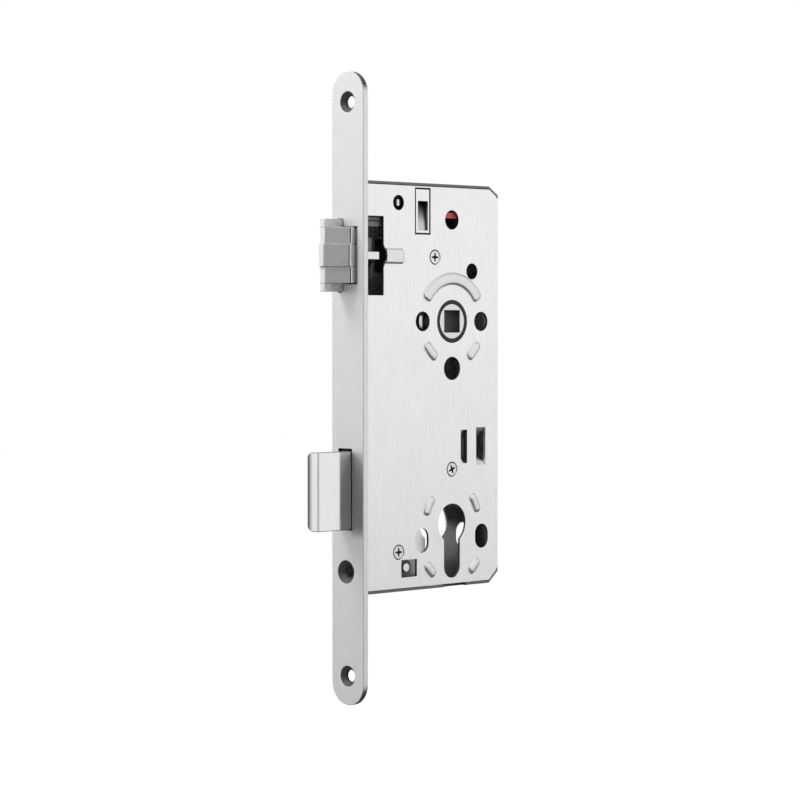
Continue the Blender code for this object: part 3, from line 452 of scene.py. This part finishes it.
def painted_bolt_shadow(finish, x, y, z):
    """Strength of the painted shadow that the bolt casts on the plate's front; its upper end softens outwards like
    a shadow's edge.
    """
    low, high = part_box("deadbolt_head")
    depth = finish.maths("SUBTRACT", high.z + BOLT_SHADOW_RISE, z)
    fade = finish.maths("SUBTRACT", low.y + BOLT_SHADOW_FADE, y)
    under = finish.ranged(finish.maths("DIVIDE", depth, fade), 0.0, 1.0, 0.0, 1.0)
    over = finish.ranged(z, low.z - BOLT_SHADOW_END, low.z, 0.0, 1.0)
    side = finish.between(y, PLATE_SIDE, low.y)
    bolt_shadow = finish.both(under, over, side, finish.below(x, FRONT_SKIN))
    return finish.maths("MULTIPLY", bolt_shadow, BOLT_SHADOW_STRENGTH)


def shaded_round_ends(finish, x, z):
    """1 on the edge of the plate's round ends, which is painted in shade, fading out where the straight sides
    begin.
    """
    low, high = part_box("faceplate")
    radius = (high.y - low.y) / 2
    ends = []
    for centre, way in ((high.z - radius, 1), (low.z + radius, -1)):
        past = finish.ranged(finish.maths("MULTIPLY_ADD", z, way, -way * centre), *END_FADE, 0.0, 1.0)
        inner = finish.within(radius - END_SKIN, (0, 0, centre), (0, 1, 1))
        ends.append(finish.both(past, finish.outside(inner)))
    return finish.both(finish.either(*ends), finish.beyond(x, FRONT_SKIN))


def hammered_paint(name):
    """Fine silver hammer-finish paint with a painted shadow beside the bolt, its near side painted lighter,
    painted shade along its near front edge, on its round ends and in its holes, and darker countersinks.
    """
    finish = Finish(name, metallic=0.7)
    speckle = finish.noise(0.7 * MM, detail=3.0)
    clouds = finish.noise(9 * MM, detail=2.0)
    mottle = finish.spread(speckle)
    tone = finish.blended(mottle, (0.76, 0.75, 0.742), (0.93, 0.92, 0.912))
    paint = finish.blended(finish.spread(clouds, 0.0, 0.25), tone, (0.78, 0.77, 0.76))
    x, y, z = finish.axes()
    # A painted shadow of the bolt on the plate's front.
    paint = finish.blended(painted_bolt_shadow(finish, x, y, z), paint, BOLT_SHADOW_GREY)
    # The plate's near side is painted lighter, as light falls on it.
    side = finish.below(y, PLATE_SIDE)
    paint = finish.blended(side, paint, SIDE_LIGHT_GREY)
    # A thin line along the near front edge is painted darker as shade.
    paint = finish.blended(finish.both(side, finish.below(x, FRONT_SKIN)), paint, FRONT_EDGE_SHADE_GREY)
    # The edge of the round ends is painted dark as shade.
    paint = finish.blended(shaded_round_ends(finish, x, z), paint, END_SHADE_GREY)
    sunk = finish.beyond(x, SINK_DEPTHS[0])
    places = [(0, across * MM, up * MM) for across, up, _ in COUNTERSINKS]
    sinks = [finish.within(sink[2] * MM, place, (0, 1, 1)) for sink, place in zip(COUNTERSINKS, places)]
    bores = [finish.within(SCREW_HOLE_RADIUS, place, (0, 1, 1)) for place in places]
    coned = finish.blended(finish.both(finish.either(*sinks), sunk), paint, CONE_GREY)
    roughness = finish.spread(speckle, 0.42, 0.56)
    windows = finish.either(*[finish.between(z, *span) for span in FACE_HOLES])
    cut = finish.both(windows, finish.between(y, -FACE_HOLE_HALF, FACE_HOLE_HALF))
    # The bores and the latch and bolt windows are painted near black as shade.
    inner = finish.both(finish.either(cut, *bores), sunk, finish.below(x, SINK_DEPTHS[1]))
    finish.darken(inner, coned, roughness, HOLE_SHADE_GREY)
    return finish.bumped(speckle, 0.55, 0.03 * MM).material


def steel_surface(finish, shine=1.0):
    """Colour and roughness of bright plated steel."""
    rings = finish.noise(0.3 * MM, stretch=(1, 8, 1))
    finish.bumped(rings, 0.06, 0.02 * MM)
    dark, light = [tuple(shine * c for c in tone) for tone in ((0.74, 0.74, 0.75), (0.86, 0.86, 0.86))]
    colour = finish.blended(rings, dark, light)
    return colour, finish.spread(rings, 0.20, 0.30)


def guide_sheet(name):
    """Galvanised sheet with a pocket painted in shade at its top and along its rear wall."""
    finish = Finish(name, metallic=1.0)
    surface, roughness = sheet_surface(finish)
    x, y, z = finish.axes()
    fade = finish.ranged(z, *POCKET_FADE, 0.35, 1.0)
    shade = finish.either(fade, finish.beyond(x, POCKET_WALL))
    pocket = finish.both(finish.beyond(y, COVER_FACE + POCKET_DEPTH), shade)
    finish.darken(pocket, surface, roughness, POCKET_SHADE_GREY)
    return finish.material


def bright_steel(name):
    finish = Finish(name, metallic=1.0)
    colour, roughness = steel_surface(finish)
    finish.feed("Base Color", colour)
    finish.feed("Roughness", roughness)
    return finish.material


def screw_steel(node):
    """Bright steel with painted shade in its cross recess."""
    finish = Finish(f"{node}_steel", metallic=1.0)
    colour, roughness = steel_surface(finish)
    _, y, _ = finish.axes()
    recess = finish.within(SCREW_CROSS_RADIUS, middle(node), (1, 0, 1))
    cross = finish.both(recess, finish.beyond(y, COVER_FACE + CROSS_DEPTH))
    finish.darken(cross, colour, roughness, CROSS_SHADE_GREY)
    return finish.material


def post_steel(name):
    """Bright steel whose near half is painted in shade but for an upright strip left bright as a highlight."""
    finish = Finish(name, metallic=1.0)
    colour, roughness = steel_surface(finish)
    centre = middle("front_post")
    x, y, _ = finish.axes()
    # The upright strip is left bright as a highlight; the rest of the near half is painted in shade.
    slot = finish.between(x, centre.x - POST_HIGHLIGHT_HALF, centre.x + POST_HIGHLIGHT_HALF)
    shaded_half = finish.both(finish.outside(slot), finish.below(y, centre.y))
    finish.darken(shaded_half, colour, roughness, POST_SHADE_GREY)
    return finish.material


def follower_steel(name):
    """Bright steel with rough painted shade inside the square hole."""
    finish = Finish(name, metallic=1.0)
    colour, roughness = steel_surface(finish, shine=0.95)
    x, y, z = finish.axes()
    centre = joint_place("follower_turn")
    hole = finish.beyond(y, COVER_FACE + SHEAR_DEPTH)
    for coordinate, at in ((x, centre.x), (z, centre.z)):
        hole = finish.both(hole, finish.between(coordinate, at - SQUARE_HALF, at + SQUARE_HALF))
    finish.darken(hole, colour, roughness, SQUARE_SHADE_GREY)
    return finish.material


def nickel(name):
    """Polished plate with faint upright grinding lines, and painted shade along its ends and at its front corner.
    """
    finish = Finish(name, metallic=1.0)
    lines = finish.noise(0.22 * MM, stretch=(1, 1, 60))
    clouds = finish.noise(6 * MM)
    tone = finish.blended(finish.spread(lines), (0.93, 0.925, 0.93), (0.98, 0.975, 0.98))
    low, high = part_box("deadbolt_head")
    x, y, z = finish.axes()
    edges = finish.either(finish.beyond(z, high.z - BOLT_END_LINE), finish.below(z, low.z + BOLT_END_LINE))
    corner = finish.both(finish.below(x, BOLT_EDGE[0]), finish.below(y, BOLT_EDGE[1]))
    corner_shaded = finish.blended(corner, tone, BOLT_CORNER_SHADE_GREY)
    finish.feed("Base Color", finish.blended(edges, corner_shaded, BOLT_END_SHADE_GREY))
    finish.feed("Roughness", finish.spread(clouds, 0.09, 0.13))
    return finish.bumped(lines, 0.08, 0.02 * MM).material


def sintered(name):
    """Grey pressed-powder steel with a fine open grain, painted shade in thin lines along the edges and steps of
    the head, and rubbed bright along its near edge.
    """
    finish = Finish(name, metallic=LATCH_METAL)
    grain = finish.noise(0.45 * MM, detail=4.0)
    pits = finish.grains(0.35 * MM)
    tone = finish.blended(finish.spread(grain), (0.76, 0.76, 0.765), (0.98, 0.98, 0.985))
    pitted = finish.blended(finish.ranged(pits, 0.0, 0.25, 0.4, 0.0), tone, 0.3)
    _, y, z = finish.axes()
    # Thin lines along the edges and steps of the latch head are painted darker as shade.
    lines = [finish.between(z, at - LATCH_LINE_HALF, at + LATCH_LINE_HALF) for at in LATCH_LINES]
    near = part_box("latch_head")[0].y
    rubbed = finish.between(y, *[near + reach for reach in LATCH_RUBBED])
    finish.feed("Base Color", finish.blended(finish.either(*lines), pitted, LATCH_LINE_SHADE_GREY))
    finish.feed("Roughness", finish.mixed(rubbed, finish.spread(grain, 0.44, 0.58), RUBBED_ROUGHNESS))
    finish.feed("Metallic", finish.mixed(rubbed, LATCH_METAL, 1.0))
    return finish.bumped(grain, 0.5, 0.05 * MM).material


def blackened_steel(name):
    """Dark steel of the levers inside the case, its dark tone painted shade for where they lie, with a fine grain
    and lighter rubbed patches.
    """
    finish = Finish(name, metallic=0.8)
    grain = finish.noise(0.5 * MM, detail=3.0)
    rubbed = finish.noise(5 * MM, detail=2.0)
    # The dark tone is painted shade for the levers' place deep in the case.
    tone = finish.blended(finish.spread(grain), 0.08, 0.14)
    finish.feed("Base Color", finish.blended(finish.ranged(rubbed, 0.62, 0.8, 0.0, 0.3), tone, 0.25))
    finish.feed("Roughness", finish.spread(grain, 0.42, 0.58))
    return finish.bumped(grain, 0.15, 0.02 * MM).material


def plastic(name, dark, light, roughness, specular=0.5):
    """Moulded plastic with a faint texture and slight wear."""
    finish = Finish(name, specular=specular)
    grain = finish.noise(0.35 * MM, detail=3.0)
    wear = finish.noise(4 * MM)
    finish.feed("Base Color", finish.blended(finish.ranged(wear, 0.35, 0.75, 0.0, 1.0), dark, light))
    finish.feed("Roughness", finish.spread(grain, roughness - 0.06, roughness + 0.08))
    return finish.bumped(grain, 0.12, 0.02 * MM).material


def black_plastic(name):
    return plastic(name, (0.008, 0.008, 0.009), (0.016, 0.016, 0.018), 0.30)


def unlit_plastic(name):
    """Black plastic deep in the case, with hardly any shine."""
    return plastic(name, (0.016, 0.016, 0.017), (0.028, 0.028, 0.030), 0.4, specular=0.15)


def grey_plastic(name):
    return plastic(name, (0.32, 0.32, 0.33), (0.44, 0.44, 0.45), 0.45)


def red_plastic(name):
    return plastic(name, (0.93, 0.15, 0.13), (0.97, 0.19, 0.165), 0.4)


def spring_wire(name):
    finish = Finish(name, metallic=1.0)
    drawn = finish.noise(0.2 * MM, stretch=(2, 2, 2))
    finish.feed("Base Color", finish.blended(drawn, (0.10, 0.10, 0.105), (0.20, 0.20, 0.21)))
    finish.feed("Roughness", finish.spread(drawn, 0.22, 0.38))
    return finish.bumped(drawn, 0.10, 0.01 * MM).material


FINISH_OF_SLOT = {
    "faceplate_paint": hammered_paint,
    "galvanised_sheet": galvanised_sheet,
    "bright_steel": bright_steel,
    "nickel_bolt": nickel,
    "sintered_latch": sintered,
    "blackened_steel": blackened_steel,
    "black_plastic": black_plastic,
    "red_plastic": red_plastic,
    "spring_wire": spring_wire,
}


def make_materials():
    """One material for each record slot, and one of its own for each node with painted shade or light in places.
    """
    made = {slot: make(slot) for slot, make in FINISH_OF_SLOT.items()}
    made["case_body"] = case_sheet("case_sheet")
    made["case_cover"] = cover_sheet("cover_sheet")
    made["guide_block"] = guide_sheet("guide_sheet")
    made["front_post"] = post_steel("post_steel")
    made["follower"] = follower_steel("follower_steel")
    made["latch_carrier"] = unlit_plastic("carrier_plastic")
    made["carrier_grey"] = grey_plastic("carrier_grey")
    for place in ("upper", "middle", "lower"):
        made[f"cover_screw_{place}"] = screw_steel(f"cover_screw_{place}")
    return made


def joined_skin(name, creased):
    """Geometry nodes that join loaded triangles into one smooth skin, with sharp creases where asked."""
    group = bpy.data.node_groups.new(name, "GeometryNodeTree")
    group.interface.new_socket("Geometry", in_out="INPUT", socket_type="NodeSocketGeometry")
    group.interface.new_socket("Geometry", in_out="OUTPUT", socket_type="NodeSocketGeometry")
    start = group.nodes.new("NodeGroupInput")
    weld = group.nodes.new("GeometryNodeMergeByDistance")
    weld.inputs["Distance"].default_value = MERGE
    plain = group.nodes.new("GeometryNodeSetMeshNormal")
    plain.mode = "SHARPNESS"
    end = group.nodes.new("NodeGroupOutput")
    chain = [start, weld, plain]
    for least, most in CREASES_DEG if creased else ():
        bend = group.nodes.new("GeometryNodeInputMeshEdgeAngle")
        bent = group.nodes.new("FunctionNodeCompare")
        bent.operation = "EQUAL"
        bent.inputs["B"].default_value = math.radians((least + most) / 2)
        bent.inputs["Epsilon"].default_value = math.radians((most - least) / 2)
        group.links.new(bend.outputs["Unsigned Angle"], bent.inputs["A"])
        crease = group.nodes.new("GeometryNodeSetShadeSmooth")
        crease.domain = "EDGE"
        crease.inputs["Shade Smooth"].default_value = False
        group.links.new(bent.outputs[0], crease.inputs["Selection"])
        chain.append(crease)
    chain.append(end)
    for before, after in zip(chain, chain[1:]):
        group.links.new(before.outputs[0], after.inputs[0])
    return group


def dress_nodes(materials):
    """Give each loaded solid its finish, and rounded edges or, where it has no rounding, sharp creases."""
    rounded_skin = joined_skin("rounded_skin", creased=False)
    creased_skin = joined_skin("creased_skin", creased=True)
    for row in frame["record"]["subparts"]:
        name = row["node"]
        node = NODES[name]
        finish = materials.get(name) or materials[row["material_slot"]]
        node.data.materials.clear()
        node.data.materials.append(finish)
        width = EDGE_ROUNDS.get(name, EDGE_ROUND)
        join = node.modifiers.new("join", "NODES")
        join.node_group = rounded_skin if width else creased_skin
        flat = node.modifiers.new("flat", "DECIMATE")
        flat.decimate_type = "DISSOLVE"
        flat.angle_limit = FLAT_ANGLE
        if width:
            bevel = node.modifiers.new("edges", "BEVEL")
            bevel.width = width
            bevel.segments = EDGE_STEPS
            bevel.limit_method = "ANGLE"
            bevel.angle_limit = EDGE_ANGLE
            bevel.use_clamp_overlap = False
        normals = node.modifiers.new("normals", "WEIGHTED_NORMAL")
        normals.keep_sharp = not width


def piece_from(shape, name, material, body):
    """Turn a bmesh into a smooth visual piece that rides on a body, or on none yet."""
    mesh = bpy.data.meshes.new(name)
    bmesh.ops.recalc_face_normals(shape, faces=shape.faces)
    shape.to_mesh(mesh)
    shape.free()
    mesh.materials.append(material)
    mesh.shade_smooth()
    piece = bpy.data.objects.new(name, mesh)
    bpy.context.scene.collection.objects.link(piece)
    if body:
        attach(piece, body)
    return piece


def tube(points, radius):
    """A bmesh of round wire along points, closed at both ends."""
    shape = bmesh.new()
    rings = []
    side = None
    for i, point in enumerate(points):
        ahead = (points[min(i + 1, len(points) - 1)] - points[max(i - 1, 0)]).normalized()
        side = (side - side.project(ahead) if side else ahead.orthogonal()).normalized()
        across = ahead.cross(side)
        turns = [2 * math.pi * k / WIRE_STEPS for k in range(WIRE_STEPS)]
        ring = [point + radius * (math.cos(a) * side + math.sin(a) * across) for a in turns]
        rings.append([shape.verts.new(p) for p in ring])
    for first, second in zip(rings, rings[1:]):
        for k in range(WIRE_STEPS):
            after = (k + 1) % WIRE_STEPS
            shape.faces.new((first[k], first[after], second[after], second[k]))
    shape.faces.new(rings[0])
    shape.faces.new(rings[-1])
    return shape


def wound_spring(node, material, body=None):
    """A compression spring with close end turns, in the place of a loaded one."""
    axis, wire, turns = SPRINGS[node]
    low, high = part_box(node)
    centre = (low + high) / 2
    flat = [k for k in range(3) if k != axis]
    radius = min(high[k] - low[k] for k in flat) / 2 - wire
    start, end = low[axis] + wire, high[axis] - wire
    close = END_PITCH * wire
    pitch = (end - start - 2 * close) / (turns - 2)
    points = []
    for i in range(turns * TURN_STEPS + 1):
        turn = i / TURN_STEPS
        along = start + close * min(turn, 1) + pitch * min(max(turn - 1, 0), turns - 2)
        along += close * max(turn - turns + 1, 0)
        point = centre.copy()
        point[axis] = along
        point[flat[0]] += radius * math.cos(2 * math.pi * turn)
        point[flat[1]] += radius * math.sin(2 * math.pi * turn)
        points.append(point)
    piece = piece_from(tube(points, wire), f"{node}_wound", material, body)
    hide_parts(node)
    return piece


def make_springs(material):
    latch = wound_spring("latch_spring", material, "case")
    end = middle("latch_spring")
    end.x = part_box("latch_spring")[1].x
    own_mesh(latch)
    follower = wound_spring("follower_spring", material, "case")
    end = middle("follower_spring")
    end.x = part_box("follower_spring")[0].x
    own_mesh(follower)
    tumbler = wound_spring("tumbler_spring", material)
    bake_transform(tumbler)


def moulding(name, outline, near, far, material):
    """A flat moulding on the latch with softened edges, from an X and Z outline in millimetres."""
    shape = bmesh.new()
    rings = [[shape.verts.new((x * MM, y, z * MM)) for x, z in outline] for y in (near, far)]
    for k in range(len(outline)):
        after = (k + 1) % len(outline)
        shape.faces.new((rings[0][k], rings[0][after], rings[1][after], rings[1][k]))
    for ring in rings:
        shape.faces.new(ring)
    edges = list(shape.edges)
    bmesh.ops.bevel(shape, geom=edges, offset=EDGE_ROUND, segments=EDGE_STEPS, affect="EDGES")
    piece = piece_from(shape, name, material, "latch")


def make_carrier_mouldings(materials):
    """The grey end cap with its lip, the small tab and the round column on the latch carrier."""
    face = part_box("latch_carrier")[0].y
    grey = materials["carrier_grey"]
    moulding("latch_carrier_cap", CARRIER_CAP, face - MOULDING_PROUD, face, grey)
    moulding("latch_carrier_lip", CARRIER_LIP, face - MOULDING_PROUD, face + LIP_DEPTH, grey)
    moulding("latch_carrier_tab", CARRIER_TAB, face - MOULDING_PROUD, face, grey)
    points = [Vector((x * MM, face, z * MM)) for x, z in COLUMN_ENDS]
    black = materials["black_plastic"]
    column = piece_from(tube(points, COLUMN_RADIUS), "latch_carrier_column", black, "latch")


def lit_world():
    """White to the eye and in reflections, softer as light."""
    world = bpy.data.worlds.new("studio")
    bpy.context.scene.world = world
    world.use_nodes = True
    tree = world.node_tree
    tree.nodes.clear()
    path = tree.nodes.new("ShaderNodeLightPath")
    seen = path.outputs["Is Camera Ray"]
    for ray in ("Is Glossy Ray", "Is Transmission Ray"):
        either = tree.nodes.new("ShaderNodeMath")
        either.operation = "MAXIMUM"
        tree.links.new(seen, either.inputs[0])
        tree.links.new(path.outputs[ray], either.inputs[1])
        seen = either.outputs[0]
    soft = tree.nodes.new("ShaderNodeBackground")
    soft.inputs["Strength"].default_value = WORLD_SOFT
    white = tree.nodes.new("ShaderNodeBackground")
    white.inputs["Strength"].default_value = 1.0
    for background in (soft, white):
        background.inputs["Color"].default_value = (1, 1, 1, 1)
    mix = tree.nodes.new("ShaderNodeMixShader")
    tree.links.new(seen, mix.inputs["Fac"])
    tree.links.new(soft.outputs[0], mix.inputs[1])
    tree.links.new(white.outputs[0], mix.inputs[2])
    output = tree.nodes.new("ShaderNodeOutputWorld")
    tree.links.new(mix.outputs[0], output.inputs["Surface"])


def make_floor():
    """A pale floor well below the lock, lifted to white for the camera, that still takes the shadow."""
    material = bpy.data.materials.new("floor")
    material.use_nodes = True
    tree = material.node_tree
    shader = tree.nodes["Principled BSDF"]
    shader.inputs["Base Color"].default_value = (FLOOR_GREY, FLOOR_GREY, FLOOR_GREY, 1)
    shader.inputs["Roughness"].default_value = FLOOR_ROUGHNESS
    shader.inputs["Specular IOR Level"].default_value = 0.0
    path = tree.nodes.new("ShaderNodeLightPath")
    shader.inputs["Emission Color"].default_value = (1, 1, 1, 1)
    total = None
    for ray, strength in FLOOR_LIFT.items():
        lift = tree.nodes.new("ShaderNodeMath")
        lift.operation = "MULTIPLY_ADD"
        tree.links.new(path.outputs[ray], lift.inputs[0])
        lift.inputs[1].default_value = strength
        lift.inputs[2].default_value = 0.0
        if total is not None:
            tree.links.new(total, lift.inputs[2])
        total = lift.outputs[0]
    tree.links.new(total, shader.inputs["Emission Strength"])
    floor = panel("floor", (0, 0, FLOOR_Z), (0, 0, 1), FLOOR_HALF * 2, FLOOR_HALF * 2)
    floor.data.materials.append(material)


def panel(name, centre, facing, width, height):
    """A flat rectangle that faces along a direction."""
    shape = bmesh.new()
    bmesh.ops.create_grid(shape, x_segments=1, y_segments=1, size=0.5)
    shape.transform(Matrix.Diagonal((width, height, 1, 1)))
    turn = Vector(facing).to_track_quat("Z", "Y").to_matrix().to_4x4()
    shape.transform(Matrix.Translation(centre) @ turn)
    mesh = bpy.data.meshes.new(name)
    shape.to_mesh(mesh)
    shape.free()
    piece = bpy.data.objects.new(name, mesh)
    bpy.context.scene.collection.objects.link(piece)
    return piece


def make_flag(name, azimuth, spread, height, rise, greys):
    """An upright grey card that faces the lock, seen only in reflections."""
    angle = math.radians(azimuth)
    centre = Vector((math.cos(angle), math.sin(angle), rise)) * FLAG_DISTANCE
    width = 2 * FLAG_DISTANCE * math.tan(math.radians(spread / 2))
    flag = panel(name, centre, -centre, width, height)
    light_card(flag, greys)


def light_card(card, greys):
    """Give a card an even or graded grey, and hide it from all but reflections."""
    material = bpy.data.materials.new(card.name)
    material.use_nodes = True
    tree = material.node_tree
    tree.nodes.clear()
    place = tree.nodes.new("ShaderNodeTexCoord")
    split = tree.nodes.new("ShaderNodeSeparateXYZ")
    grade = tree.nodes.new("ShaderNodeMapRange")
    glow = tree.nodes.new("ShaderNodeEmission")
    output = tree.nodes.new("ShaderNodeOutputMaterial")
    grade.inputs["To Min"].default_value, grade.inputs["To Max"].default_value = greys
    tree.links.new(place.outputs["Generated"], split.inputs[0])
    tree.links.new(split.outputs["X"], grade.inputs["Value"])
    tree.links.new(grade.outputs[0], glow.inputs["Strength"])
    tree.links.new(glow.outputs[0], output.inputs["Surface"])
    card.data.materials.append(material)
    card.visible_camera = False
    card.visible_diffuse = False
    card.visible_shadow = False


def make_softbox(name, centre, size, power):
    lamp = bpy.data.lights.new(name, "AREA")
    lamp.size = size
    lamp.energy = power
    box = bpy.data.objects.new(name, lamp)
    box.visible_glossy = False
    box.location = centre
    box.rotation_euler = (-Vector(centre)).to_track_quat("-Z", "Y").to_euler()
    bpy.context.scene.collection.objects.link(box)


def make_studio():
    bpy.context.scene.view_settings.view_transform = "Standard"
    lit_world()
    make_floor()
    for name, card in FLAGS.items():
        make_flag(name, *card)
    for name, (centre, way, sizes, greys) in LEVEL_FLAGS.items():
        light_card(panel(name, centre, (0, 0, way), *sizes), greys)
    for name, lamp in LAMPS.items():
        make_softbox(name, *lamp)


def make_camera():
    data = bpy.data.cameras.new("camera")
    data.lens = LENS
    data.sensor_width = SENSOR
    data.clip_start = 0.01
    camera = bpy.data.objects.new("camera", data)
    camera.location = CAMERA_PLACE
    camera.rotation_euler = (math.radians(90) + CAMERA_PITCH, 0, -CAMERA_YAW)
    bpy.context.scene.collection.objects.link(camera)
    bpy.context.scene.camera = camera


make_camera()
make_studio()
finishes = make_materials()
dress_nodes(finishes)
make_springs(finishes["spring_wire"])
make_carrier_mouldings(finishes)
